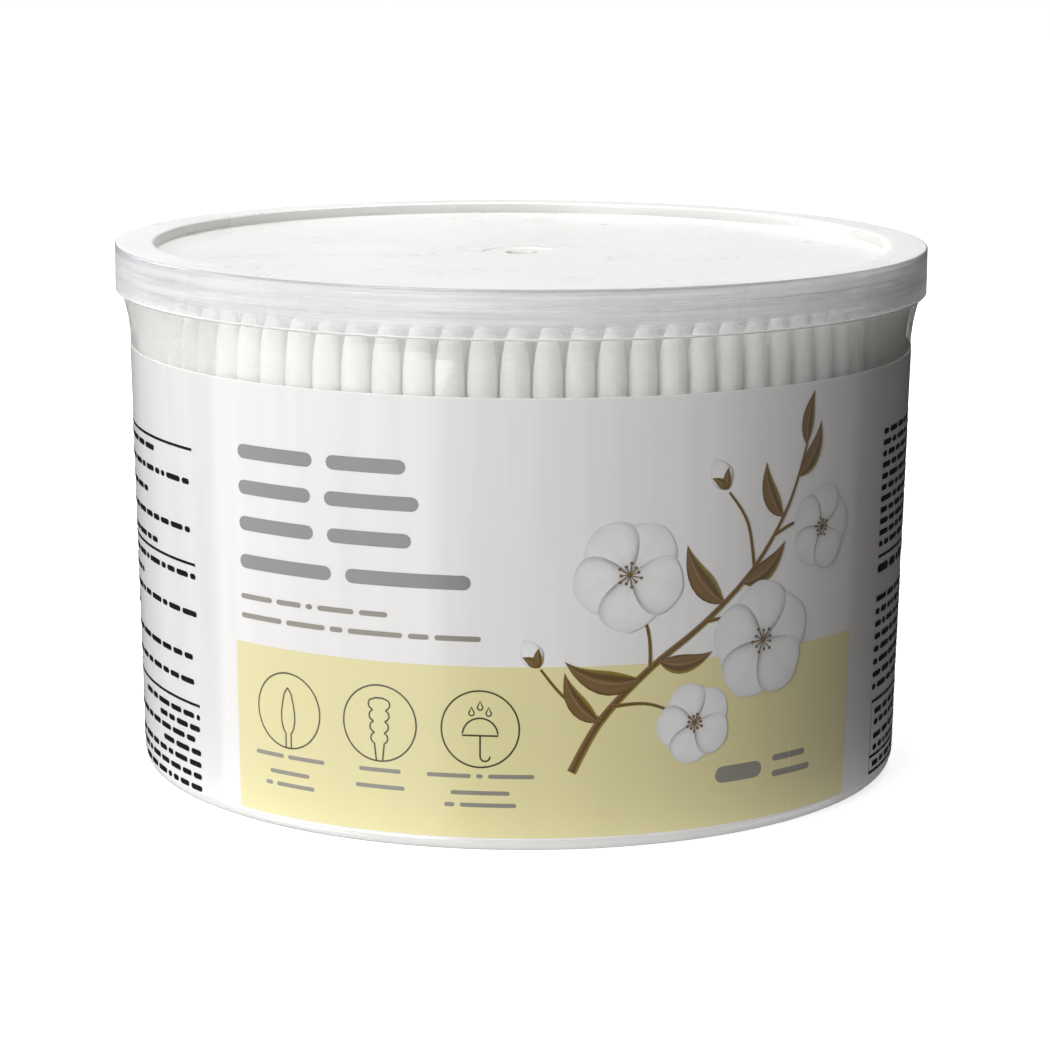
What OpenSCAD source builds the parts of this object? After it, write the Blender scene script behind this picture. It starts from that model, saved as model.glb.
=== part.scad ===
/* [Swab] */
// Length of a swab from end to end
swab_l = 76; // [60:1:90]
// Diameter of the bamboo stick
stick_d = 2.4; // [2:0.1:2.6]
// Greatest diameter of the cotton at both ends
bud_d = 4.5; // [4.3:0.1:5]
// Length of the pointed cotton tip
pointed_l = 17; // [15:0.5:20]
// Length of the pointed tip's nose, up to its greatest diameter
nose_l = 10; // [8:0.5:11]
// Cotton past the stick's end in the pointed tip
pointed_cap = 3.4; // [3:0.1:4]
// Length of the spiral cotton tip
spiral_l = 14; // [12:0.5:18]
// Cotton past the stick's end in the spiral tip
spiral_cap = 1.4; // [1.2:0.1:2]
// Number of bulges along the spiral tip
bulges = 4; // [3:1:5]
// Clearance round the stick in the cotton
stick_fit = 0.05; // [0.04:0.01:0.08]

/* [Pack] */
// Radius of the innermost ring of swabs at the floor
core_r = 3.86; // [3.6:0.02:6]
// Gap between neighbours in a ring, at the floor
bud_gap = 0.16; // [0.14:0.02:0.8]
// Gap between one ring of swabs and the next
ring_gap = 0.5; // [0.4:0.05:1.2]
// Share by which the gaps within a ring open and close
shuffle = 0.02; // [0:0.005:0.02]
// Most that one swab stands above another
uneven = 0.5; // [0:0.1:1]
// Gap between the lowest swab and the floor
stand_clear = 0.1; // [0.05:0.05:0.3]

/* [Tub] */
// Thickness of the tub's wall
wall = 0.9; // [0.8:0.1:1.6]
// Slope of the wall away from upright, for release from the mould
draft = 1.26; // [0.8:0.02:2]
// Gap between the outermost swabs and the wall
wall_clear = 0.15; // [0.1:0.05:0.5]
// Thickness of the floor
floor_t = 1.2; // [0.8:0.1:2]
// Height of the floor's underside above the table
foot_h = 2.4; // [1.2:0.1:3]
// Width of the flat ring that the tub stands on
foot_w = 2.6; // [1.5:0.1:4]
// Radius of the outer corner at the base
corner_r = 1.8; // [1:0.1:3]
// Radius of the fillet between the floor and the wall
fillet_r = 0.8; // [0.4:0.1:1.2]
// Height over which the mouth flares out
flare_h = 8.4; // [6:0.2:12]
// Flare of the mouth beyond the wall's slope
flare = 1.25; // [0.6:0.05:1.6]
// Height of the bead round the rim
bead_h = 1; // [0.8:0.1:1.5]
// Depth of the groove under the bead
groove = 0.35; // [0.2:0.05:0.45]
// Distance from the rim's top to the bead
bead_drop = 0.75; // [0.5:0.05:1.2]

/* [Lid] */
// Thickness of the lid's top and recess
lid_t = 1.1; // [0.8:0.1:1.6]
// Thickness of the lid's skirt
skirt_t = 0.7; // [0.6:0.1:1.5]
// Height of the skirt
skirt_h = 7.6; // [6.5:0.1:9]
// Width of the flat rim on the lid
rim_w = 6.25; // [5:0.25:9]
// Depth of the recess in the lid
recess = 2; // [1.6:0.1:3]
// Space between the highest swab and the lid
headroom = 2.2; // [2:0.1:6]
// Clearance between the tub's bead and the lid's skirt
lid_fit = 0.2; // [0.16:0.02:0.4]
// Clearance between the tub's rim and the lid that sits on it
seat_fit = 0.05; // [0.04:0.01:0.1]
// Height of the snap ridge inside the skirt
snap = 0.1; // [0.06:0.01:0.12]
// Radius of the round mark at the lid's centre
mark_r = 6.5; // [5:0.5:9]
// Radius of the gate dimple in that mark
gate_r = 2.6; // [2:0.1:3.5]
// Depth of the gate dimple
gate_d = 0.5; // [0.3:0.1:0.7]

/* [Label] */
// Thickness of the wrapped label
label_t = 0.12; // [0.08:0.02:0.2]
// Thickness of the glue under the label
glue_t = 0.04; // [0.03:0.01:0.06]
// Bare wall left beyond the label's edges
label_edge = 0.2; // [0.1:0.1:1]
// Length of the lap where the label's ends meet
label_lap = 8; // [4:1:15]

/* [Hidden] */
RINGS = 12;
RING_NAMES = [for (k = [1:RINGS]) str(k < 10 ? "ring_0" : "ring_", k)];

// A wide turning is cut fine, a swab's small one less so
WIDE_FN = 180;
SWAB_FN = 24;

stick_r = stick_d / 2;
bore_r = stick_r + stick_fit;
bud_r = bud_d / 2;
// Cotton left at a tip's end on the stick, and how blunt the pointed tip is
hem_t = 0.1;
hem_r = bore_r + hem_t;
blunt_a = 10;
stick_l = swab_l - pointed_cap - spiral_cap - 2 * stick_fit;

// Each ring of swabs leans out in proportion to its radius, the last one as the wall does
lean = tan(draft);
ring_pitch = bud_d + ring_gap;
function ring_r(k) = core_r + (k - 1) * ring_pitch;
function ring_tilt(k) = atan(lean * ring_r(k) / ring_r(RINGS));
function ring_count(k) = floor(180 / asin((bud_d + bud_gap) / (2 * ring_r(k))));
// A fixed scatter from 0 to 1, one value for each swab, from the last digits of a large sine
SWAB_TURN = 73.7;
RING_TURN = 41.3;
SPREAD = 917;
function scatter(k, i) = let (s = abs(sin(i * SWAB_TURN + k * RING_TURN) * SPREAD)) s - floor(s);

// Heights from the table up
floor_z = foot_h + floor_t;
swab_z = floor_z + stand_clear;
tips_z = swab_z + swab_l + uneven;
panel_z = tips_z + headroom;
panel_top = panel_z + lid_t;
lid_top = panel_top + recess;
rim_z = lid_top - lid_t;
tub_top = rim_z - seat_fit;
skirt_z = lid_top - skirt_h;
bead_z = tub_top - bead_drop - bead_h;
flare_z = skirt_z - flare_h;

// Radii of the wall at a height, and what the flare adds to them, ever faster up to the collar
function inner_r(z) = ring_r(RINGS) + (bud_r + wall_clear) / cos(draft) + (z - floor_z) * lean;
function outer_r(z) = inner_r(z) + wall / cos(draft);
FLARE_POWER = 2;
FLARE_STEPS = 8;
flare_steps = [for (i = [0:FLARE_STEPS]) i / FLARE_STEPS];
function flare_r(t) = flare * pow(t, FLARE_POWER);
function flare_at(t) = flare_z + t * flare_h;
collar_r = outer_r(skirt_z) + flare;
groove_r = collar_r - groove;
collar_in = groove_r - wall;
skirt_in = collar_r + lid_fit;
lid_r = skirt_in + skirt_t;
recess_r = lid_r - rim_w;
foot_out = outer_r(corner_r) - corner_r;
foot_in = foot_out - foot_w;

// Small radii and steps that the moulder gives every edge
edge_r = 0.25;
lip_r = 0.45;
ridge_h = 0.8;
mark_step = 0.15;
nub_r = 1.5;
nub_h = 0.4;

label_low = corner_r + label_edge;
label_high = flare_z - label_edge;

// The spiral tip's outline: radii as shares of its bulge, heights as shares of the step between bulges
HEAD_FLAT = 0.5;
SHOULDER = [0.85, 0.15];
HEAD_CREST = [0.4, 0.75];
NECK = 0.4;
CREST = [0.3, 0.7];
LAST_STEP = 0.6;

function arc(x, z, r, a0, a1, n = 5) = [
    for (i = [0:n])
        let (a = a0 + (a1 - a0) * i / n)
            [x + r * cos(a), z + r * sin(a)]];

module turned(points, fn = WIDE_FN) {
    rotate_extrude($fn = fn) polygon(points);
}

// A tapered tub, thin all over, on a ring foot, with a flared mouth and a beaded rim
module tub() {
    base = concat(
        [[0, foot_h - nub_h], [nub_r, foot_h - nub_h], [nub_r + nub_h / 2, foot_h]],
        [[foot_in - foot_h / 4, foot_h], [foot_in, 0]],
        arc(foot_out, corner_r, corner_r, -90, -draft));
    mouth = [for (t = flare_steps) [outer_r(flare_at(t)) + flare_r(t), flare_at(t)]];
    rim = [
        [collar_r, skirt_z + edge_r], [groove_r, skirt_z + groove + edge_r],
        [groove_r, bead_z - groove], [collar_r, bead_z], [collar_r, bead_z + bead_h],
        [groove_r, bead_z + bead_h + groove], [groove_r, tub_top - edge_r], [groove_r - edge_r, tub_top],
        [collar_in + edge_r, tub_top], [collar_in, tub_top - edge_r], [collar_in, skirt_z + edge_r]];
    throat = [for (i = [FLARE_STEPS:-1:0]) let (t = flare_steps[i])
        [min(collar_in, inner_r(flare_at(t)) + flare_r(t)), flare_at(t)]];
    hollow = arc(inner_r(floor_z) - fillet_r, floor_z + fillet_r, fillet_r, 0, -90);
    color([0.9, 0.92, 0.93, 0.5]) turned(concat(base, mouth, rim, throat, hollow, [[0, floor_z]]));
}

// A press-on lid: skirt, flat rim, channel for the tub's rim and a sunken middle
module lid() {
    top = concat(
        [[0, panel_top - gate_d], [gate_r - gate_d, panel_top - gate_d], [gate_r, panel_top - mark_step]],
        [[mark_r - mark_step, panel_top - mark_step], [mark_r, panel_top]],
        arc(recess_r - lip_r, panel_top + lip_r, lip_r, -90, 0, 3),
        arc(recess_r + lip_r, lid_top - lip_r, lip_r, 180, 90, 3),
        arc(lid_r - edge_r, lid_top - edge_r, edge_r, 90, 0, 3));
    skirt = [
        [lid_r, skirt_z + edge_r], [lid_r - edge_r, skirt_z],
        [skirt_in + edge_r, skirt_z], [skirt_in, skirt_z + edge_r],
        [skirt_in, bead_z - groove - ridge_h - snap], [skirt_in - snap, bead_z - groove - ridge_h],
        [skirt_in - snap, bead_z - groove - snap], [skirt_in, bead_z - groove]];
    channel = [
        [skirt_in, rim_z - edge_r], [skirt_in - edge_r, rim_z],
        [recess_r + lid_t + edge_r, rim_z], [recess_r + lid_t, rim_z - edge_r]];
    under = concat(
        arc(recess_r + lid_t - lip_r, panel_z + lip_r, lip_r, 0, -90, 3),
        [[gate_r + gate_d, panel_z], [gate_r, panel_z - gate_d], [0, panel_z - gate_d]]);
    color([0.93, 0.94, 0.94, 0.6]) turned(concat(top, skirt, channel, under));
}

// Section of the film between two depths out from the glue, both counted in layers
module film(inner, outer, over = 0) {
    low = label_low - over;
    high = label_high + over;
    polygon([for (p = [[inner, low], [outer, low], [outer, high], [inner, high]])
        [outer_r(p[1]) + glue_t + p[0] * label_t, p[1]]]);
}

// A printed film wrapped once round the wall, two layers deep where its ends lap at the back
module label() {
    lap_angle = label_lap / outer_r(label_low) * 180 / PI;
    color([0.97, 0.96, 0.94]) difference() {
        rotate_extrude($fn = WIDE_FN) film(0, 2);
        rotate([0, 0, 90 + lap_angle / 2])
            rotate_extrude(angle = 360 - lap_angle, $fn = WIDE_FN) film(1, 4, 1);
    }
}

// Places its children where each swab of a ring stands, foot at the origin
module stand_ring(k) {
    count = ring_count(k);
    waves = 3 + k % 3;
    for (i = [0:count - 1]) {
        swing = shuffle * count / (2 * PI * waves) * sin(360 * waves * i / count);
        rotate([0, 0, 360 / count * (i + swing)])
            translate([ring_r(k), 0, swab_z + uneven * scatter(k, i)])
                rotate([0, ring_tilt(k), 0])
                    children();
    }
}

// A straight bamboo stick, cut square
module stick() {
    translate([0, 0, spiral_cap + stick_fit]) cylinder(r = stick_r, h = stick_l, $fn = SWAB_FN);
}

// Half of an ellipse for the nose, blunt at the very end, and a long fade into the stick
module pointed_tip() {
    nose = [for (i = [0:5]) let (a = blunt_a + (90 - blunt_a) * i / 5)
        [bud_r * sin(a), swab_l - nose_l * (1 - cos(a))]];
    fade_top = swab_l - nose_l;
    fade_end = swab_l - pointed_l;
    fade = [for (i = [1:4]) let (u = i / 4)
        [hem_r + (bud_r - hem_r) * (1 + cos(180 * u)) / 2, fade_top + (fade_end - fade_top) * u]];
    bore_end = swab_l - pointed_cap;
    bore = [[bore_r, fade_end], [bore_r, bore_end], [0, bore_end]];
    turned(concat([[0, nose[0][1]]], nose, fade, bore), SWAB_FN);
}

// A round head and ever smaller bulges, as the wound cotton is shaped
module spiral_tip() {
    step = spiral_l / (bulges + LAST_STEP);
    function crest(j) = bud_r - j * (bud_r - bore_r) / (2 * bulges);
    function neck(j) = bore_r + NECK * (crest(j) - bore_r);
    head = [
        [0, 0], [HEAD_FLAT * bud_r, 0], [SHOULDER[0] * bud_r, SHOULDER[1] * step],
        [bud_r, HEAD_CREST[0] * step], [bud_r, HEAD_CREST[1] * step]];
    rest = [for (j = [1:bulges - 1]) each [
        [neck(j), j * step], [crest(j), (j + CREST[0]) * step], [crest(j), (j + CREST[1]) * step]]];
    hem = [[hem_r, spiral_l], [bore_r, spiral_l], [bore_r, spiral_cap], [0, spiral_cap]];
    turned(concat(head, rest, hem), SWAB_FN);
}

module sticks(k) {
    color([0.86, 0.74, 0.52]) stand_ring(k) stick();
}

module pointed_tips(k) {
    color([0.97, 0.97, 0.96]) stand_ring(k) pointed_tip();
}

module spiral_tips(k) {
    color([0.97, 0.97, 0.96]) stand_ring(k) spiral_tip();
}

tub();
lid();
label();
for (k = [1:RINGS]) {
    sticks(k);
    pointed_tips(k);
    spiral_tips(k);
}
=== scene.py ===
"""Cotton swab tub: a clear tub with a frosted press-on lid, a film label and a full pack of swabs."""

import math
import random

import bmesh
import bpy
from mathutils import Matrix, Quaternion, Vector


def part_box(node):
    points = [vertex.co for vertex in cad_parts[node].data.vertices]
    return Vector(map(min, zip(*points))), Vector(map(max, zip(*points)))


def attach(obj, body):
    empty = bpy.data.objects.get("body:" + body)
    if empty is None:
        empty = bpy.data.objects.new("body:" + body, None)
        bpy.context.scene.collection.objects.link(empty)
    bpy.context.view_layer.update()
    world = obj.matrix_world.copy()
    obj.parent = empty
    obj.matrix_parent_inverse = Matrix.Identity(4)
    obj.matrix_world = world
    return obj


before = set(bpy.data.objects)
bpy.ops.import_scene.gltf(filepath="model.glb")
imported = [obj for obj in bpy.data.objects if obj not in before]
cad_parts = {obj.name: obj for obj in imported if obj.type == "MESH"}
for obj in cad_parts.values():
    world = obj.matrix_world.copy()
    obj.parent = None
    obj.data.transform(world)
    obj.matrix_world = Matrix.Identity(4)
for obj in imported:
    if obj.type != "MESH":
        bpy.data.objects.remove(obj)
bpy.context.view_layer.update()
MM = 0.001


# The tub. One thin moulding of clear polypropylene on a ring foot, with a flared mouth.
# The plastic holds a little haze, and the melt left faint streaks that run up the wall.


class Value:
    """One output of a finish's nodes. Arithmetic on it adds Math nodes."""

    def __init__(self, finish, socket):
        self.finish = finish
        self.socket = socket

    def maths(self, operation, first, second):
        return self.finish.node("ShaderNodeMath", {"operation": operation}, {0: first, 1: second})

    def __add__(self, other):
        return self.maths("ADD", self, other)

    def __radd__(self, other):
        return self.maths("ADD", other, self)

    def __sub__(self, other):
        return self.maths("SUBTRACT", self, other)

    def __rsub__(self, other):
        return self.maths("SUBTRACT", other, self)

    def __mul__(self, other):
        return self.maths("MULTIPLY", self, other)

    def __rmul__(self, other):
        return self.maths("MULTIPLY", other, self)


class Finish:
    """The nodes of a material or of the world. They vary over the object's own coordinates."""

    def __init__(self, name, kept_in=bpy.data.materials):
        self.data = kept_in.new(name)
        self.data.use_nodes = True
        self.tree = self.data.node_tree
        self.tree.nodes.clear()
        self.place = self.node("ShaderNodeTexCoord", {}, {}, "Object")

    def node(self, kind, settings, inputs, output=0):
        """Adds a node: its settings first, then a value or a link for each named input."""
        made = self.tree.nodes.new(kind)
        for name, setting in settings.items():
            if name == "stops":
                self.set_stops(made.color_ramp.elements, setting)
            else:
                setattr(made, name, setting)
        for name, value in inputs.items():
            if isinstance(value, Value):
                self.tree.links.new(value.socket, made.inputs[name])
            else:
                made.inputs[name].default_value = value
        return Value(self, made.outputs[output]) if made.outputs else None

    def set_stops(self, elements, stops):
        """Gives a colour ramp these (place, colour) stops."""
        while len(elements) < len(stops):
            elements.new(1)
        for element, (place, colour) in zip(elements, stops):
            element.position = place
            element.color = (*colour, 1)

    def scaled(self, x, y, z):
        """The object's coordinates, stretched along each axis."""
        return self.node("ShaderNodeVectorMath", {"operation": "MULTIPLY"}, {0: self.place, 1: (x, y, z)})

    def noise(self, place, scale, detail=2, roughness=0.5):
        """Soft noise from 0 to 1, with this many ripples to the metre."""
        inputs = {"Vector": place, "Scale": scale, "Detail": detail, "Roughness": roughness}
        return self.node("ShaderNodeTexNoise", {}, inputs)

    def spread(self, value, low, high, out_low=0.0, out_high=1.0):
        """A value's range from low to high, drawn out to a new range."""
        inputs = {
            "Value": value, "From Min": low, "From Max": high,
            "To Min": out_low, "To Max": out_high}
        return self.node("ShaderNodeMapRange", {}, inputs)

    def blend(self, share, first, second):
        """A mix of two colours."""
        inputs = {0: share}
        for socket, colour in ((6, first), (7, second)):
            inputs[socket] = colour if isinstance(colour, Value) else (*colour, 1)
        return self.node("ShaderNodeMix", {"data_type": "RGBA"}, inputs, 2)

    def cast(self, haze, share):
        """Haze of which only this share stops the light on its way to what is inside."""
        shadow = self.node("ShaderNodeLightPath", {}, {}, "Is Shadow Ray")
        return haze * (1 - shadow * (1 - share))

    def facing(self):
        """How far the surface turns away from sight, from 0 face on to 1 edge on."""
        return self.node("ShaderNodeLayerWeight", {}, {"Blend": 0.5}, "Facing")

    def coordinate(self, name):
        """One of the object's own coordinates."""
        return self.node("ShaderNodeSeparateXYZ", {}, {0: self.place}, name)

    def length(self, vector):
        """How long a vector is, in metres."""
        return self.node("ShaderNodeVectorMath", {"operation": "LENGTH"}, {0: vector}, "Value")

    def bump(self, height, strength, depth):
        """A surface normal from heights of 0 to 1, this deep in metres."""
        inputs = {"Height": height, "Strength": strength, "Distance": depth}
        return self.node("ShaderNodeBump", {}, inputs)

    def surface(self, inputs):
        """Joins the main shader, with these inputs, to the output."""
        shader = self.node("ShaderNodeBsdfPrincipled", {}, inputs)
        self.node("ShaderNodeOutputMaterial", {}, {"Surface": shader})
        return self.data


# The light that a see-through skin throws back is scaled by its haze, so its index is raised to match
CLEAR_GLOSS = 2.8
# Seen edge on, the wall is long to look through and turns cloudy, and so is the thick foot
EDGE_HAZE = 0.8
FOOT_HAZE = 0.85
FOOT_TOP, FOOT_FADE = 2.0 * MM, 0.4 * MM
# The share of the wall's haze that keeps light from the swabs
CLEAR_SHADOW = 0.6


def clear_tub_plastic():
    finish = Finish("clear_tub_plastic")
    streaks = finish.noise(finish.scaled(1, 1, 0.12), 260, 3)
    clouds = finish.noise(finish.place, 45, 2)
    face = finish.spread(streaks * 0.4 + clouds * 0.6, 0.3, 0.7, 0.2, 0.28)
    edge = finish.spread(finish.facing(), 0.45, 0.95, 0, EDGE_HAZE)
    # The foot is cloudier and paler than the wall. Its paler colour is partly painted light: the floor's
    # light that the thick foot catches
    foot = finish.spread(finish.coordinate("Z"), FOOT_TOP, FOOT_TOP + FOOT_FADE, FOOT_HAZE, 0)
    return finish.surface({
        "Base Color": finish.blend(foot, (0.87, 0.87, 0.86), (0.97, 0.97, 0.965)),
        "Roughness": finish.spread(clouds, 0.3, 0.7, 0.08, 0.14),
        "IOR": CLEAR_GLOSS,
        "Alpha": finish.cast(1 - (1 - face) * (1 - edge) * (1 - foot), CLEAR_SHADOW),
        "Normal": finish.bump(streaks, 0.35, 0.06 * MM),
    })


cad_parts["tub"].material_slots[0].material = clear_tub_plastic()


# The label. One white printed film, glued once round the wall, with its ends lapped at the back.
# Its satin face draws slightly wavy as it is rolled on, and its cut edge is bright.

CUT_EDGE = 0.3
# The share of the light that the film keeps from the swabs. The rest shines through it
FILM_SHADOW = 0.55
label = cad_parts["label"]
# The front half of the film, in millimetres
label_points = [vertex.co / MM for vertex in label.data.vertices if vertex.co.y < 0]
label_low = min(point.z for point in label_points)
label_high = max(point.z for point in label_points)


def white_film():
    finish = Finish("white_film")
    waves = finish.noise(finish.scaled(1, 1, 0.06), 120, 2)
    grain = finish.noise(finish.place, 1400, 2)
    tone = finish.spread(finish.noise(finish.scaled(1, 1, 0.05), 260, 3), 0.3, 0.7)
    face = finish.blend(tone, (0.795, 0.79, 0.79), (0.845, 0.84, 0.84))
    cut = finish.spread(finish.coordinate("Z"), (label_high - CUT_EDGE) * MM, label_high * MM)
    return finish.surface({
        "Base Color": finish.blend(cut, face, (0.95, 0.95, 0.94)),
        "Roughness": finish.spread(grain, 0.3, 0.7, 0.14, 0.2),
        "IOR": 1.5,
        "Alpha": finish.cast(1, FILM_SHADOW),
        "Normal": finish.bump(waves * 0.96 + grain * 0.04, 0.6, 0.12 * MM),
    })


label.material_slots[0].material = white_film()

# The print on the label's front: a pale yellow field, round signs, rules and bars of ink.
# Each colour is one thin printed layer, drawn flat in millimetres and then wrapped on the film.

# The radius by which a length along the film becomes a turn round the tub
WRAP_R = 63.2


def label_radius(height):
    """The greatest radius of the film at one of its two edges."""
    return max(point.xy.length for point in label_points if abs(point.z - height) < 0.01)


low_r = label_radius(label_low)
label_slope = (label_radius(label_high) - low_r) / (label_high - label_low)

# The ink's thickness, and the longest flat step that it takes round the film
INK_T = 0.012
INK_STEP = 1.5
# How far the layers of ink lie off the film, from the first to the last
FIELD_LIFT, BAR_LIFT, STEM_LIFT, PETAL_LIFT, HEART_LIFT = 0.02, 0.035, 0.055, 0.08, 0.17


def on_label(along, up, lift):
    """The point this far along the label from the front, up from the table and off the film."""
    angle = along / WRAP_R
    radius = low_r + (up - label_low) * label_slope + lift
    return Vector((radius * math.sin(angle), -radius * math.cos(angle), up)) * MM


def add_patch(ink, outline):
    """Fills a flat outline with ink."""
    corners = [ink.verts.new((along, up, 0)) for along, up in outline]
    face = ink.faces.new(corners)
    face.normal_update()
    if face.normal.z < 0:
        face.normal_flip()


def add_line(ink, path, width, closed=False):
    """Draws a flat line of one width along a path."""
    count = len(path)
    sides = []
    for i, (along, up) in enumerate(path):
        before = path[i - 1] if i or closed else path[i]
        after = path[(i + 1) % count] if i < count - 1 or closed else path[i]
        run = Vector((after[0] - before[0], after[1] - before[1])).normalized()
        sides.append([
            ink.verts.new((along + run.y * width / 2, up - run.x * width / 2, 0)),
            ink.verts.new((along - run.y * width / 2, up + run.x * width / 2, 0)),
        ])
    for i in range(count if closed else count - 1):
        here, there = sides[i], sides[(i + 1) % count]
        ink.faces.new([here[0], there[0], there[1], here[1]])


def arc(along, up, radius, start, end, steps):
    """Points on a round arc, with its angles in degrees."""
    turns = [math.radians(start + (end - start) * i / steps) for i in range(steps + 1)]
    return [(along + radius * math.cos(turn), up + radius * math.sin(turn)) for turn in turns]


def add_bar(ink, left, right, up, height):
    """A bar of ink with round ends."""
    end_r = height / 2
    add_patch(ink, arc(right - end_r, up, end_r, -90, 90, 6) + arc(left + end_r, up, end_r, 90, 270, 6))


def add_row(ink, left, up, lengths, height, gap):
    """A row of bars of these lengths, from its left end."""
    for length in lengths:
        add_bar(ink, left, left + length, up, height)
        left += length + gap


def add_ring(ink, along, up, radius, width):
    """A printed circle."""
    add_line(ink, arc(along, up, radius, 0, 360, 64)[:-1], width, True)


def print_layer(ink, name, finish, lift):
    """Wraps a flat layer of ink on the label, gives it a thickness and fixes it to the tub."""
    bmesh.ops.triangulate(ink, faces=ink.faces)
    first = min(vertex.co.x for vertex in ink.verts)
    last = max(vertex.co.x for vertex in ink.verts)
    for step in range(math.floor(first / INK_STEP) + 1, math.ceil(last / INK_STEP)):
        whole = ink.verts[:] + ink.edges[:] + ink.faces[:]
        bmesh.ops.bisect_plane(ink, geom=whole, plane_co=(step * INK_STEP, 0, 0), plane_no=(1, 0, 0))
    for vertex in ink.verts:
        vertex.co = on_label(vertex.co.x, vertex.co.y, lift + vertex.co.z)
    for edge in ink.edges:
        edge.smooth = not edge.is_boundary
    mesh = bpy.data.meshes.new(name)
    ink.to_mesh(mesh)
    ink.free()
    mesh.polygons.foreach_set("use_smooth", [True] * len(mesh.polygons))
    mesh.materials.append(finish)
    piece = bpy.data.objects.new(name, mesh)
    bpy.context.scene.collection.objects.link(piece)
    layer = piece.modifiers.new("ink", "SOLIDIFY")
    layer.thickness = INK_T * MM
    layer.offset = 1
    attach(piece, "tub")


def ink_finish(name, colour, blotch):
    finish = Finish(name)
    mottle = finish.noise(finish.scaled(1, 1, 0.05), 200, 3)
    darker = tuple(channel * (1 - blotch) for channel in colour)
    return finish.surface({
        "Base Color": finish.blend(mottle, darker, colour),
        "Roughness": finish.spread(mottle, 0.3, 0.7, 0.2, 0.28),
        "IOR": 1.5,
    })


FIELD_LEFT, FIELD_RIGHT = -48, 60.5
FIELD_LOW, FIELD_HIGH = 2.3, 28.8
PALE_YELLOW = (0.79, 0.73, 0.40)
field = bmesh.new()
add_patch(field, [
    (FIELD_LEFT, FIELD_LOW), (FIELD_RIGHT, FIELD_LOW),
    (FIELD_RIGHT, FIELD_HIGH), (FIELD_LEFT, FIELD_HIGH)])
print_layer(field, "yellow_field", ink_finish("pale_yellow_ink", PALE_YELLOW, 0.05), FIELD_LIFT)

# A heading, two lines under it, captions and a corner group, all as plain bars of ink.
# Each row is its height above the table and the lengths of its bars.

TEXT_LEFT = -46.6
HEADING_H, HEADING_GAP = 2.2, 2.4
HEADING = [(58.5, [14.4, 12.8]), (53.0, [14.0, 15.2]), (47.4, [14.4, 13.6]), (41.5, [17.4, 19.6])]
SMALL_H, SMALL_GAP = 0.8, 0.9
SMALL_LINES = [(36.0, [6.4, 4.6, 1.2, 6.2, 4.6]), (33.0, [8.2, 7.0, 2.2, 8.8, 3.2, 7.0])]
CAPTION_H, CAPTION_GAP = 0.65, 0.8
HEADING_GREY = (0.27, 0.27, 0.265)
SMALL_GREY = (0.29, 0.28, 0.24)
SIGN_PLACES = [-37.5, -21.5, -5.8]
CAPTIONS = [
    [(11.9, [5.6, 6.8]), (9.3, [7.6]), (7.4, [1.4, 7.2])],
    [(11.9, [6.8]), (9.3, [8.0])],
    [(11.9, [6.8, 1.0, 7.0]), (9.3, [9.0]), (7.4, [1.6, 8.6])],
]
# The corner group's bars, each with its left end, right end, height above the table and own height
CORNER_BARS = [(31.4, 40.2, 10.2, 2.6), (42.4, 49.6, 11.4, 1.0), (42.4, 50.8, 8.9, 1.0)]

heading = bmesh.new()
for up, lengths in HEADING:
    add_row(heading, TEXT_LEFT, up, lengths, HEADING_H, HEADING_GAP)
print_layer(heading, "heading_bars", ink_finish("grey_ink", HEADING_GREY, 0.1), BAR_LIFT)

small = bmesh.new()
for up, lengths in SMALL_LINES:
    add_row(small, TEXT_LEFT, up, lengths, SMALL_H, SMALL_GAP)
for middle, rows in zip(SIGN_PLACES, CAPTIONS):
    for up, lengths in rows:
        left = middle - (sum(lengths) + CAPTION_GAP * (len(lengths) - 1)) / 2
        add_row(small, left, up, lengths, CAPTION_H, CAPTION_GAP)
for left, right, up, height in CORNER_BARS:
    add_bar(small, left, right, up, height)
print_layer(small, "small_bars", ink_finish("soft_grey_ink", SMALL_GREY, 0.1), BAR_LIFT)

# Three round signs: a pointed tip, a spiral tip and an umbrella in the rain.

SIGN_UP = 19.2
SIGN_R = 5.9
SIGN_LINE = 0.27
STICK_HALF = 0.5
CANOPY_UP, CANOPY_R = 18.2, 2.7
HOOK_UP, HOOK_R = 15.0, 0.75
DROP_R, DROP_TIP = 0.4, 0.6
OLIVE = (0.085, 0.075, 0.035)
signs = bmesh.new()
for middle in SIGN_PLACES:
    add_ring(signs, middle, SIGN_UP, SIGN_R, SIGN_LINE)
stick_low = SIGN_UP - math.sqrt(SIGN_R ** 2 - STICK_HALF ** 2)


def mirrored(right_side, middle):
    """A closed outline from its right side, which is given from the foot to the top."""
    return right_side + [(2 * middle - along, up) for along, up in reversed(right_side)]


def pointed_sign(middle):
    """A cotton tip that swells from the stick and comes to a point."""
    low, top, bulge, steps = 15.6, 22.8, 0.85, 14
    body = []
    for i in range(steps + 1):
        share = i / steps
        half = STICK_HALF + bulge * math.sin(math.pi * share ** 0.75) * (1 - share) ** 0.2
        closing = min(1, (1 - share) / 0.1)
        body.append((middle + half * closing, low + (top - low) * share))
    return mirrored([(middle + STICK_HALF, stick_low)] + body, middle)


def spiral_sign(middle):
    """A cotton tip of round bulges, each a little wider than the one below."""
    low, step, bulges = 16.0, 1.75, 4
    body = []
    for j in range(bulges):
        along = middle + STICK_HALF + 0.12 * j
        body += arc(along, low + step * (j + 0.5), step / 2, -70, 70, 6)
    body[-1] = (middle + 0.6, low + step * bulges + 0.1)
    return mirrored([(middle + STICK_HALF, stick_low)] + body, middle)


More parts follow.
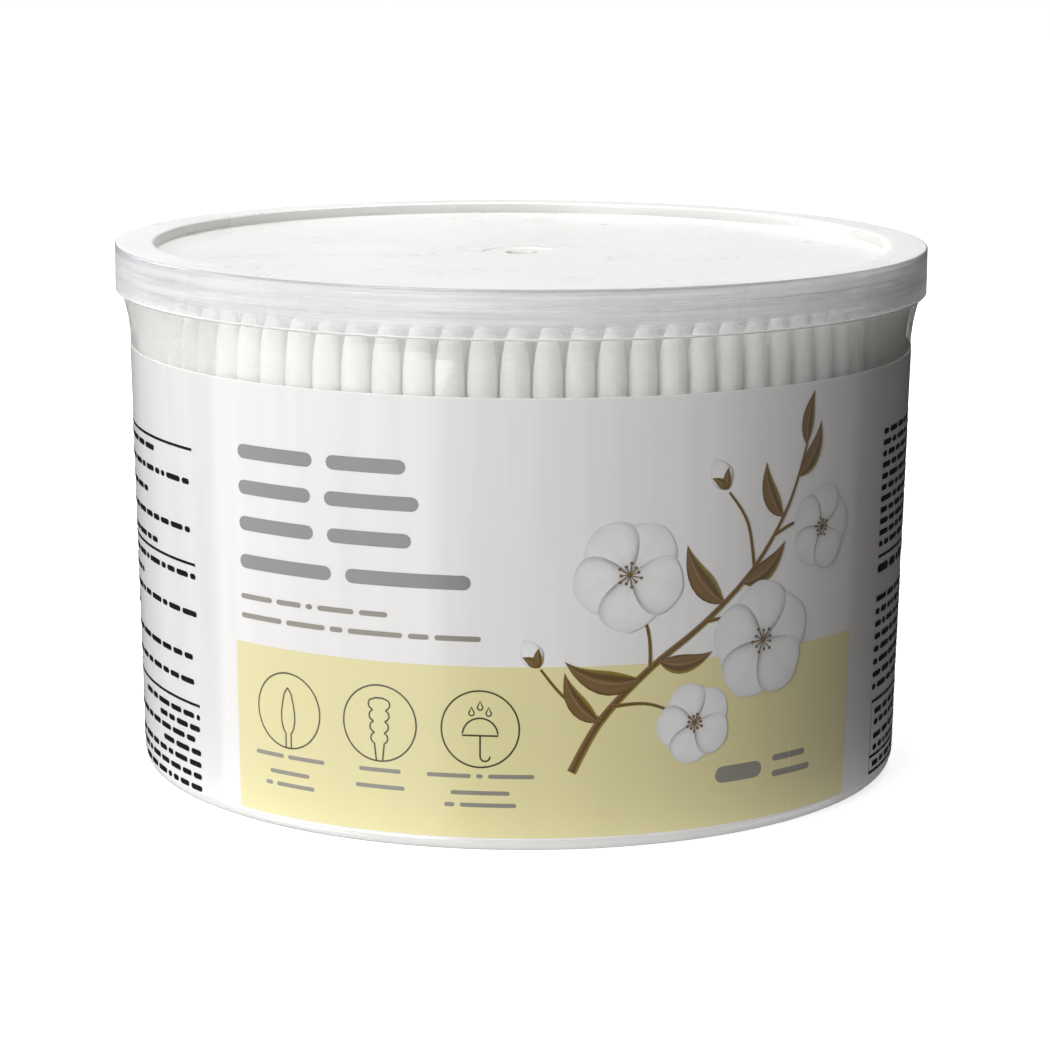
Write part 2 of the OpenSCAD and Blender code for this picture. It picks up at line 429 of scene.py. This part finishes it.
add_line(signs, pointed_sign(SIGN_PLACES[0]), SIGN_LINE)
add_line(signs, spiral_sign(SIGN_PLACES[1]), SIGN_LINE)
rain = SIGN_PLACES[2]
add_line(signs, arc(rain, CANOPY_UP, CANOPY_R, 0, 180, 20), SIGN_LINE, True)
hook = arc(rain + HOOK_R, HOOK_UP, HOOK_R, 180, 360, 8)
add_line(signs, [(rain, CANOPY_UP), (rain, HOOK_UP)] + hook, SIGN_LINE)
for along, up in [(rain, 22.9), (rain - 1.3, 22.0), (rain + 1.3, 22.0)]:
    drop = arc(along, up - 0.35, DROP_R, -220, 40, 10)
    add_line(signs, drop + [(along, up + DROP_TIP)], SIGN_LINE * 0.8, True)
print_layer(signs, "round_signs", ink_finish("olive_ink", OLIVE, 0.1), BAR_LIFT)

# Panels of fine print at both sides, as rows of short dashes between rules, and a ruled box.

DASH_H = 0.9
DASH_MIN, DASH_MAX, DASH_GAP = 1.4, 5.2, 0.75
RULE_H = 0.45
LEFT_EDGE, LEFT_FAR = -58.2, -124
RIGHT_EDGE, RIGHT_FAR = 70.4, 132
# The top row and the step between rows: low on the left, and high and in the middle on the right
LOW_TOP, LOW_STEP = 14.3, 1.93
HIGH_TOP, HIGH_STEP = 58.7, 1.81
MID_TOP, MID_STEP = 31.7, 2.06
TITLE_END, TITLE_UP, TITLE_H = 96, 36.6, 1.3
BOX_LEFT, BOX_LOW, BOX_RULE, BOX_HIGH = 70.6, 3.1, 5.7, 14.9
BOX_TEXT = 72
BLACK = (0.012, 0.012, 0.013)
fine = bmesh.new()
dashes = random.Random(5)


def add_dashes(start, end, up, height):
    """A row of dashes of uneven length, from start to end along the label."""
    along = start
    while along < end - 1:
        length = min(dashes.uniform(DASH_MIN, DASH_MAX), end - along)
        add_bar(fine, along, along + length, up, height)
        along += length + DASH_GAP


for up in (57.0, 38.8, 16.2):
    add_line(fine, [(LEFT_FAR, up), (LEFT_EDGE, up)], RULE_H)
for up, end in [
        (55.2, -71.9), (51.8, LEFT_EDGE), (48.0, -76), (44.2, LEFT_EDGE), (40.4, -71.7), (36.9, LEFT_EDGE),
        (33.9, -80), (30.9, LEFT_EDGE), (27.4, -86.6), (23.8, LEFT_EDGE), (19.8, LEFT_EDGE)]:
    add_dashes(LEFT_FAR, end, up, DASH_H)
for i, start in enumerate([-82, -73.5, -96, -72, -90, -100, -85]):
    add_dashes(start, LEFT_EDGE, LOW_TOP - LOW_STEP * i, DASH_H)
for i, end in enumerate([118, 112, RIGHT_FAR, 125, 120, RIGHT_FAR, 128, RIGHT_FAR, 116, 124, 104]):
    add_dashes(RIGHT_EDGE, end, HIGH_TOP - HIGH_STEP * i, DASH_H)
add_line(fine, [(RIGHT_EDGE, 38.6), (RIGHT_FAR, 38.6)], RULE_H)
add_dashes(RIGHT_EDGE, TITLE_END, TITLE_UP, TITLE_H)
for i, end in enumerate([112, 120, RIGHT_FAR, 108, 116, 126, 118, 98]):
    add_dashes(RIGHT_EDGE, end, MID_TOP - MID_STEP * i, DASH_H)
box = [(BOX_LEFT, BOX_HIGH), (RIGHT_FAR, BOX_HIGH), (RIGHT_FAR, BOX_LOW), (BOX_LEFT, BOX_LOW)]
add_line(fine, box, RULE_H, True)
add_line(fine, [(BOX_LEFT, BOX_RULE), (RIGHT_FAR, BOX_RULE)], RULE_H)
for up, end in [(13.0, 104), (11.2, 112), (8.9, 108), (7.0, 102), (4.3, 96)]:
    add_dashes(BOX_TEXT, end, up, DASH_H)
print_layer(fine, "fine_print_bars", ink_finish("black_ink", BLACK, 0.2), BAR_LIFT)

# The sprig printed over the label's front: white blossoms on a brown stem with slender leaves.
# Each is a small printed shape along its own spine, with its shade stored from 0 to 1.

# Faces across a blade, and the steps of lift that keep its neighbours apart
ACROSS = 8
PETAL_STEP = 0.012
CALYX_DEPTH = 0.06


def cosine_shares(count):
    """Shares of a length from 0 to 1, closer together at both ends."""
    return [(1 - math.cos(math.pi * i / count)) / 2 for i in range(count + 1)]


def add_blade(ink, spine, half_width, tone, depth=0.0, count=14):
    """A petal, leaf or stem, pointed at both ends. Width and tone follow the share of its length."""
    shade = ink.verts.layers.float["shade"]
    rows = []
    for share in cosine_shares(count):
        along, up = spine(share)
        before, after = spine(max(share - 0.02, 0)), spine(min(share + 0.02, 1))
        run = Vector((after[0] - before[0], after[1] - before[1])).normalized()
        pointed = min(share, 1 - share) < 1e-6
        sides = [0] if pointed else [2 * j / ACROSS - 1 for j in range(ACROSS + 1)]
        row = []
        for side in sides:
            across = half_width(share) * side
            point = ink.verts.new((along - across * run.y, up + across * run.x, depth))
            point[shade] = tone(share, side)
            row.append(point)
        rows.append(row)
    for here, there in zip(rows, rows[1:]):
        for j in range(ACROSS):
            near = here[j:j + 2] if len(here) > 1 else here
            far = there[j:j + 2] if len(there) > 1 else there
            ink.faces.new([near[0], far[0]] + far[1:] + near[1:])


def bent_line(root, turn, length, bend):
    """A spine that leaves its root at a turn and bends by so many degrees on its way."""
    def spine(share):
        way = math.radians(turn + bend * share / 2)
        return root[0] + length * share * math.cos(way), root[1] + length * share * math.sin(way)
    return spine


def through(points):
    """A smooth spine through given points."""
    def spine(share):
        place = share * (len(points) - 1)
        i = min(int(place), len(points) - 2)
        t = place - i
        corners = [points[max(i - 1, 0)], points[i], points[i + 1], points[min(i + 2, len(points) - 1)]]
        weights = [
            (-t + 2 * t * t - t ** 3) / 2, (2 - 5 * t * t + 3 * t ** 3) / 2,
            (t + 4 * t * t - 3 * t ** 3) / 2, (t ** 3 - t * t) / 2]
        along = sum(weight * corner[0] for weight, corner in zip(weights, corners))
        up = sum(weight * corner[1] for weight, corner in zip(weights, corners))
        return along, up
    return spine


def petal_tone(share, side):
    """Dark at its root, under the next petal and along its crease, with a grey edge."""
    base = max(0, 1 - share / 0.4) ** 1.4
    edge = max(abs(side), share) ** 5
    tucked = max(0, -side - 0.3) ** 1.5 * (1 - share) * 0.8
    crease = math.exp(-(side / 0.1) ** 2) * (1 - share) * 0.15
    return min(1, 0.06 + 0.7 * base + 0.38 * edge + tucked + crease)


def leaf_tone(share, side):
    """One half darker than the other, with a pale vein and a green edge."""
    edge = abs(side) ** 6
    vein = math.exp(-(side / 0.12) ** 2)
    return min(1, max(0, 0.42 + 0.28 * side + 0.3 * vein - 0.5 * edge))


def stem_tone(share, side):
    """Darker along one side from end to end."""
    return 0.35 + 0.4 * side


def calyx_width(share):
    """Half the width of one of the two small leaves that hold a bud."""
    return 0.75 * math.sin(math.pi * share ** 0.7)


def shaded_ink(name, stops):
    finish = Finish(name)
    shade = finish.node("ShaderNodeAttribute", {"attribute_name": "shade"}, {}, "Fac")
    mottle = finish.noise(finish.place, 700, 3)
    tone = finish.node("ShaderNodeValToRGB", {"stops": stops}, {"Fac": shade + (mottle - 0.5) * 0.12})
    return finish.surface({"Base Color": tone, "Roughness": 0.24, "IOR": 1.5})


MAIN_STEM = through([(8, 12.5), (12.5, 20.5), (20, 28), (29, 34.5), (37.5, 42), (44, 51), (47.5, 60)])
SIDE_STEMS = [
    [(20, 28), (19.5, 34), (16.5, 41)], [(29, 34.5), (34, 34.5), (38, 31)],
    [(41, 46.5), (46, 48), (51, 46.5)], [(14, 22.5), (20, 22.5), (27, 19.5)],
    [(37.5, 42), (36, 49), (32.5, 54)], [(12.5, 20.5), (7, 24), (3.2, 28.5)]]
# Each leaf's place on the stem, turn, length, half width and bend
LEAVES = [
    (0.16, 155, 9.5, 1.5, -60), (0.30, 200, 12, 1.9, -70), (0.36, -25, 9, 1.5, 60),
    (0.56, 150, 11.5, 1.9, -50), (0.62, 5, 10, 1.6, 60), (0.80, 140, 9.5, 1.5, -55),
    (0.90, 30, 9.5, 1.5, 60), (0.99, 95, 8.5, 1.3, -30)]
# Each blossom's place along and up, petal length and turn, and each bud's place, turn and length
BLOSSOMS = [
    (16.5, 42.5, 8.8, 50), (39.5, 30.5, 9.4, 20), (51.5, 46.5, 6.8, 5), (27.5, 19.0, 6.4, 38)]
BUDS = [(32.2, 54.5, 118, 5.4), (3.0, 28.8, 120, 4.8)]
PETALS, STAMENS = 5, 11
STAMEN_W, STAMEN_TIP_R = 0.16, 0.26
SPRIG_BROWNS = [
    (0.0, (0.30, 0.24, 0.05)), (0.25, (0.12, 0.07, 0.03)),
    (0.6, (0.22, 0.135, 0.06)), (1.0, (0.42, 0.31, 0.17))]
SPRIG_WHITES = [
    (0.0, (0.87, 0.87, 0.87)), (0.35, (0.74, 0.745, 0.76)),
    (0.7, (0.50, 0.50, 0.51)), (1.0, (0.30, 0.29, 0.27))]
HEART_BROWNS = [(0, (0.2, 0.12, 0.05)), (1, (0.3, 0.2, 0.1))]

green = bmesh.new()
green.verts.layers.float.new("shade")
add_blade(green, MAIN_STEM, lambda share: 0.2 + 0.55 * (1 - share), stem_tone, count=60)
for points in SIDE_STEMS:
    add_blade(green, through(points), lambda share: 0.32 - 0.12 * share, stem_tone, count=24)
for place, turn, length, half, bend in LEAVES:
    add_blade(green, bent_line(MAIN_STEM(place), turn, length, bend),
              lambda share: half * math.sin(math.pi * share ** 0.8) ** 1.1, leaf_tone, PETAL_STEP)
for along, up, turn, length in BUDS:
    for side in (1, -1):
        spine = bent_line((along, up), turn + 14 * side, length * 0.62, 30 * side)
        add_blade(green, spine, calyx_width, leaf_tone, CALYX_DEPTH)
print_layer(green, "sprig_stem_and_leaves", shaded_ink("sprig_brown_ink", SPRIG_BROWNS), STEM_LIFT)

petals = bmesh.new()
petals.verts.layers.float.new("shade")
hearts = bmesh.new()
hearts.verts.layers.float.new("shade")
for along, up, turn, length in BUDS:
    add_blade(petals, bent_line((along, up), turn, length, 0),
              lambda share: 0.36 * length * math.sin(math.pi * share ** 0.85) ** 0.8, petal_tone)
for along, up, size, turn in BLOSSOMS:
    for i in range(PETALS):
        spine = bent_line((along, up), turn + 360 / PETALS * i, size, 8)
        add_blade(petals, spine, lambda share: 0.53 * size * math.sin(math.pi * share ** 1.3) ** 0.62,
                  petal_tone, PETAL_STEP * (i + 1))
    for i in range(STAMENS):
        way = math.radians(360 / STAMENS * i + turn)
        reach = size * (0.16 + 0.05 * (i % 2))
        tip = (along + reach * math.cos(way), up + reach * math.sin(way))
        add_line(hearts, [(along, up), tip], STAMEN_W)
        add_patch(hearts, arc(*tip, STAMEN_TIP_R, 0, 315, 7))
print_layer(petals, "sprig_blossoms", shaded_ink("sprig_white_ink", SPRIG_WHITES), PETAL_LIFT)
print_layer(hearts, "sprig_hearts", shaded_ink("sprig_heart_ink", HEART_BROWNS), HEART_LIFT)


# The swabs' sticks. Straight turned bamboo with a fine grain along them, cut square.
# Each stands in the tub with the cotton tips wound on both its ends.


def bamboo_stick():
    finish = Finish("bamboo_stick")
    grain = finish.noise(finish.scaled(1, 1, 0.03), 2600, 3, 0.6)
    stalk = finish.noise(finish.scaled(1, 1, 0.02), 180, 1)
    tone = finish.spread(grain * 0.6 + stalk * 0.4, 0.3, 0.7)
    return finish.surface({
        "Base Color": finish.blend(tone, (0.56, 0.38, 0.19), (0.78, 0.60, 0.36)),
        "Roughness": finish.spread(grain, 0.3, 0.7, 0.5, 0.7),
        "Normal": finish.bump(grain, 0.4, 0.05 * MM),
    })


# The swabs' cotton tips. Loose bleached cotton, wound on the stick and shaped wet: to a point at
# the top end, and to a spiral of bulges at the lower end.


def wound_cotton():
    finish = Finish("wound_cotton")
    windings = finish.noise(finish.scaled(1, 1, 2.4), 700, 3, 0.6)
    fibres = finish.noise(finish.scaled(1, 1, 1.6), 3800, 3, 0.7)
    lumps = finish.noise(finish.place, 240, 2)
    height = windings * 0.45 + fibres * 0.25 + lumps * 0.3
    # The colour is darker where the windings sink: painted shade in their hollows
    painted_hollow_shade = finish.spread(windings, 0.35, 0.65)
    return finish.surface({
        "Base Color": finish.blend(painted_hollow_shade, (0.91, 0.895, 0.855), (0.99, 0.98, 0.955)),
        "Roughness": 0.95,
        "Subsurface Weight": 0.8,
        "Subsurface Radius": (1, 1, 1),
        "Subsurface Scale": 1.5 * MM,
        "Sheen Weight": 1.0,
        "Sheen Roughness": 0.5,
        "Normal": finish.bump(height, 0.8, 0.35 * MM),
    })


bamboo = bamboo_stick()
cotton = wound_cotton()
for name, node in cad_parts.items():
    if name.startswith("sticks_"):
        node.material_slots[0].material = bamboo
    elif "_tips_" in name:
        node.material_slots[0].material = cotton


# The lid. One moulding of frosted polypropylene, pressed over the tub's rim.
# Its face has a fine grain from the mould, light scuffs and a round gate mark in the middle.


# The light that the frosted skirt throws back is scaled by its haze too
FROSTED_GLOSS = 1.65
# The top is cloudy right through, and it hides what is under it
TOP_HAZE = 1.0
# The share of the lid's haze that keeps light from the swabs
FROSTED_SHADOW = 0.25
# The dark line along the top's outer edge, and how far in from there the skirt's finish ends
EDGE_LINE = 0.55 * MM
SKIRT_DEPTH = 3 * MM
# The gate dimple and the step round its mark are painted darker, as painted shade
DIMPLE_R, MARK_R, MARK_LINE = 2.6 * MM, 6.45 * MM, 0.2 * MM
# The skirt's haze from its foot to its top: clear below, cloudy where the tub's bead stands behind it
SKIRT_HAZE = [
    (0.0, 0.9), (0.035, 0.9), (0.05, 0.15), (0.26, 0.2), (0.31, 0.55), (0.40, 0.66),
    (0.43, 0.58), (0.55, 0.66), (0.60, 0.5), (0.655, 0.46), (0.67, 0.85), (0.695, 0.85),
    (0.71, 0.5), (0.82, 0.56), (0.88, 0.8), (1.0, 0.8)]
# The moulding's bands shift the steps of that haze a little, and thin or thicken it by this share
BAND_SHIFT, BAND_DEPTH = 0.008, 0.28
# Where the pale hem line, a painted highlight, ends and the greyer crown, painted shade, starts, as shares
# of the skirt's height
HEM_SOLID, HEM_END = 0.03, 0.05
CROWN_START, CROWN_SOLID = 0.82, 0.88
lid_low, lid_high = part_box("lid")
lid_r, lid_top = lid_high.x, lid_high.z


def frosted_lid_plastic():
    finish = Finish("frosted_lid_plastic")
    grain = finish.noise(finish.place, 2200, 2)
    clouds = finish.noise(finish.place, 25, 2)
    bands = finish.noise(finish.scaled(0.03, 0.03, 1), 1100, 3)
    level = finish.spread(finish.coordinate("Z"), lid_low.z, lid_top)
    from_axis = finish.length(finish.scaled(1, 1, 0))
    normal = finish.node("ShaderNodeNewGeometry", {}, {}, "True Normal")
    facing_up = finish.node("ShaderNodeSeparateXYZ", {}, {0: normal}, "Z")
    up = finish.spread(facing_up * facing_up, 0.1, 0.6)
    middle = finish.spread(from_axis, lid_r - SKIRT_DEPTH, lid_r - SKIRT_DEPTH / 2, 1, 0)
    flat = up + middle * (1 - up)

    # Haze
    ramp = [(place, (haze, haze, haze)) for place, haze in SKIRT_HAZE]
    shifted = level + (bands - 0.5) * BAND_SHIFT
    skirt = finish.node("ShaderNodeValToRGB", {"stops": ramp}, {"Fac": shifted})
    round_skirt = skirt * (1 - BAND_DEPTH + bands * (2 * BAND_DEPTH))
    edge = finish.spread(finish.facing(), 0.5, 0.95, 0, EDGE_HAZE)
    haze = flat * TOP_HAZE + (1 - flat) * (1 - (1 - round_skirt) * (1 - edge))

    # Colour of the skirt and of the upright steps, with a painted highlight along the hem and painted
    # shade at the crown and on the steps
    side = finish.blend(finish.spread(bands, 0.3, 0.7), (0.57, 0.575, 0.605), (0.78, 0.785, 0.80))
    # The skirt is greyer towards its top: painted shade along the rounded top edge
    painted_crown_shade = finish.spread(level, CROWN_START, CROWN_SOLID)
    side = finish.blend(painted_crown_shade, side, (0.50, 0.505, 0.535))
    # A pale line along the skirt's bottom edge: a painted highlight, the light that the rounded edge
    # catches
    painted_hem_highlight = finish.spread(level, HEM_SOLID, HEM_END, 1, 0)
    side = finish.blend(painted_hem_highlight, side, (0.96, 0.965, 0.97))
    # The upright steps inside the rim, round the recess and at the gate mark, are a darker grey: painted
    # shade
    painted_upright_shade = finish.blend(middle, side, (0.58, 0.585, 0.565))

    # Colour of the top, with its scuffs, and painted shade in the gate dimple and round its mark
    rubbed = finish.spread(finish.noise(finish.scaled(0.6, 1, 1), 70, 3), 0.45, 0.7)
    scuffs = finish.spread(finish.noise(finish.scaled(0.3, 1, 1), 1500, 3, 0.6), 0.58, 0.64) * rubbed
    dimple_shade = finish.spread(from_axis, DIMPLE_R, DIMPLE_R + MARK_LINE, 1, 0)
    from_mark = from_axis - MARK_R
    mark_ring_shade = finish.spread(from_mark * from_mark, 0, MARK_LINE * MARK_LINE, 0.5, 0)
    clean = finish.blend(clouds, (0.92, 0.925, 0.905), (0.97, 0.97, 0.955))
    top = finish.blend(scuffs + dimple_shade + mark_ring_shade, clean, (0.5, 0.5, 0.47))

    # A dark line along the top's outer edge, with a ragged border
    chips = finish.noise(finish.place, 500, 3)
    corner = (from_axis - lid_r) * 2 + finish.coordinate("Z") - lid_top + EDGE_LINE
    dark_edge_line = finish.spread(corner + (chips - 0.5) * 0.4 * EDGE_LINE, 0, 0.3 * EDGE_LINE)
    return finish.surface({
        "Base Color": finish.blend(dark_edge_line, finish.blend(up, painted_upright_shade, top), (0.38, 0.38, 0.41)),
        "Roughness": finish.spread(clouds, 0.3, 0.7, 0.24, 0.34),
        "IOR": FROSTED_GLOSS,
        "Subsurface Weight": 0.5,
        "Subsurface Radius": (1, 1, 1),
        "Subsurface Scale": 4 * MM,
        "Alpha": finish.cast(haze, FROSTED_SHADOW),
        "Normal": finish.bump(grain * 0.6 + clouds * 0.4, 0.25, 0.03 * MM),
    })


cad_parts["lid"].material_slots[0].material = frosted_lid_plastic()


# The floor: a pale studio table that reads white to the camera and keeps the tub's soft shadow.
# It stays out of the reflections, as the left card stands partly below it.

FLOOR_R = 3.0
# To the camera the table is white, and beyond the soft shadow it glows up to full white
WHITE = (0.8, 0.8, 0.8)
SHADOW_R, OPEN_R = 0.08, 0.4
SHADOW_GLOW, OPEN_GLOW = 0.62, 1.0
# To the tub it is pale only close by, and dark further off, so that the tub's right side stays dark
NEAR_GREY, FAR_GREY = (0.6, 0.59, 0.58), (0.212, 0.2, 0.188)
NEAR_R, FAR_R = 0.068, 0.075
# It also throws a little light up at the clear foot, as a low light strip does
FOOT_GLOW = 0.35


def studio_table():
    finish = Finish("studio_table")
    seen = finish.node("ShaderNodeLightPath", {}, {}, "Is Camera Ray")
    far = finish.length(finish.place)
    glow = finish.spread(far, SHADOW_R, OPEN_R, SHADOW_GLOW, OPEN_GLOW) * seen
    foot_glow = finish.spread(far, NEAR_R, FAR_R, FOOT_GLOW, 0) * (1 - seen)
    bounce = finish.blend(finish.spread(far, NEAR_R, FAR_R), NEAR_GREY, FAR_GREY)
    return finish.surface({
        "Base Color": finish.blend(seen, bounce, WHITE),
        "Roughness": 1,
        "Specular IOR Level": 0,
        "Emission Color": finish.blend(glow + foot_glow, (0, 0, 0), (1, 1, 1)),
        "Emission Strength": 1,
    })


disc = bmesh.new()
bmesh.ops.create_circle(disc, cap_ends=True, segments=96, radius=FLOOR_R)
table = bpy.data.meshes.new("table")
disc.to_mesh(table)
disc.free()
table.materials.append(studio_table())
floor = bpy.data.objects.new("table", table)
bpy.context.scene.collection.objects.link(floor)
floor.visible_glossy = False


# The studio: a main light in front at the left, a side light behind it, a large light high up
# behind the tub and a weak one at the right. Three cards show only in the tub's reflections.

TUB_MIDDLE = Vector((0, 0, 0.045))


def add_softbox(name, azimuth, elevation, distance, width, height, radiance):
    """A soft light that faces the tub. Its azimuth is in degrees from the camera's side, to the right."""
    lamp = bpy.data.lights.new(name, "AREA")
    lamp.shape = "RECTANGLE"
    lamp.size = width
    lamp.size_y = height
    lamp.energy = radiance * math.pi * width * height
    box = bpy.data.objects.new(name, lamp)
    bpy.context.scene.collection.objects.link(box)
    turn, rise = math.radians(azimuth), math.radians(elevation)
    out = Vector((math.sin(turn) * math.cos(rise), -math.cos(turn) * math.cos(rise), math.sin(rise)))
    box.location = TUB_MIDDLE + out * distance
    box.rotation_euler = out.to_track_quat("Z", "Y").to_euler()
    box.visible_camera = False
    return box


add_softbox("main_light", -29, 15, 0.8, 0.45, 0.35, 10.2)
add_softbox("side_light", -116, 20, 0.8, 0.4, 0.4, 8.6)
add_softbox("top_light", -170, 72, 0.8, 0.8, 0.8, 3.6)
add_softbox("right_light", 62, 48, 0.8, 0.5, 0.5, 0.25)
CARDS = [
    add_softbox("left_card", -59, -12, 0.7, 1.05, 0.55, 1.9),
    add_softbox("right_card", 75, -12, 0.7, 1.0, 0.55, 0.35),
    add_softbox("back_card", 180, 10, 0.8, 0.4, 0.3, 0.5)]
for card in CARDS:
    card.visible_diffuse = False

# The room is white to the camera, also through the clear plastic, and nearly dark to all else
ROOM_GREY = (0.021, 0.02, 0.0195)
room = Finish("room", bpy.data.worlds)
direct = room.node("ShaderNodeLightPath", {}, {}, "Is Camera Ray")
passed = room.node("ShaderNodeLightPath", {}, {}, "Is Transmission Ray")
tone = room.blend(direct + passed, ROOM_GREY, (1, 1, 1))
sky = room.node("ShaderNodeBackground", {}, {"Color": tone})
room.node("ShaderNodeOutputWorld", {}, {"Surface": sky})
bpy.context.scene.world = room.data
bpy.context.scene.view_settings.view_transform = "Standard"


# The camera. A long lens a little above the rim, on the photograph's side of the tub.
# Its place and turns were fitted to the rounds of the lid and the label.

LENS = 115.3
SENSOR = 36
CAMERA_PLACE = (0, -0.5478, 0.1460)
PITCH, ROLL, YAW = 11.16, 0.34, -0.09

lens = bpy.data.cameras.new("camera")
lens.lens = LENS
lens.sensor_width = SENSOR
camera = bpy.data.objects.new("camera", lens)
bpy.context.scene.collection.objects.link(camera)
camera.location = CAMERA_PLACE
camera.rotation_mode = "QUATERNION"
for axis, angle in [((0, 0, 1), YAW), ((1, 0, 0), 90 - PITCH), ((0, 0, 1), ROLL)]:
    camera.rotation_quaternion = camera.rotation_quaternion @ Quaternion(axis, math.radians(angle))
bpy.context.scene.camera = camera
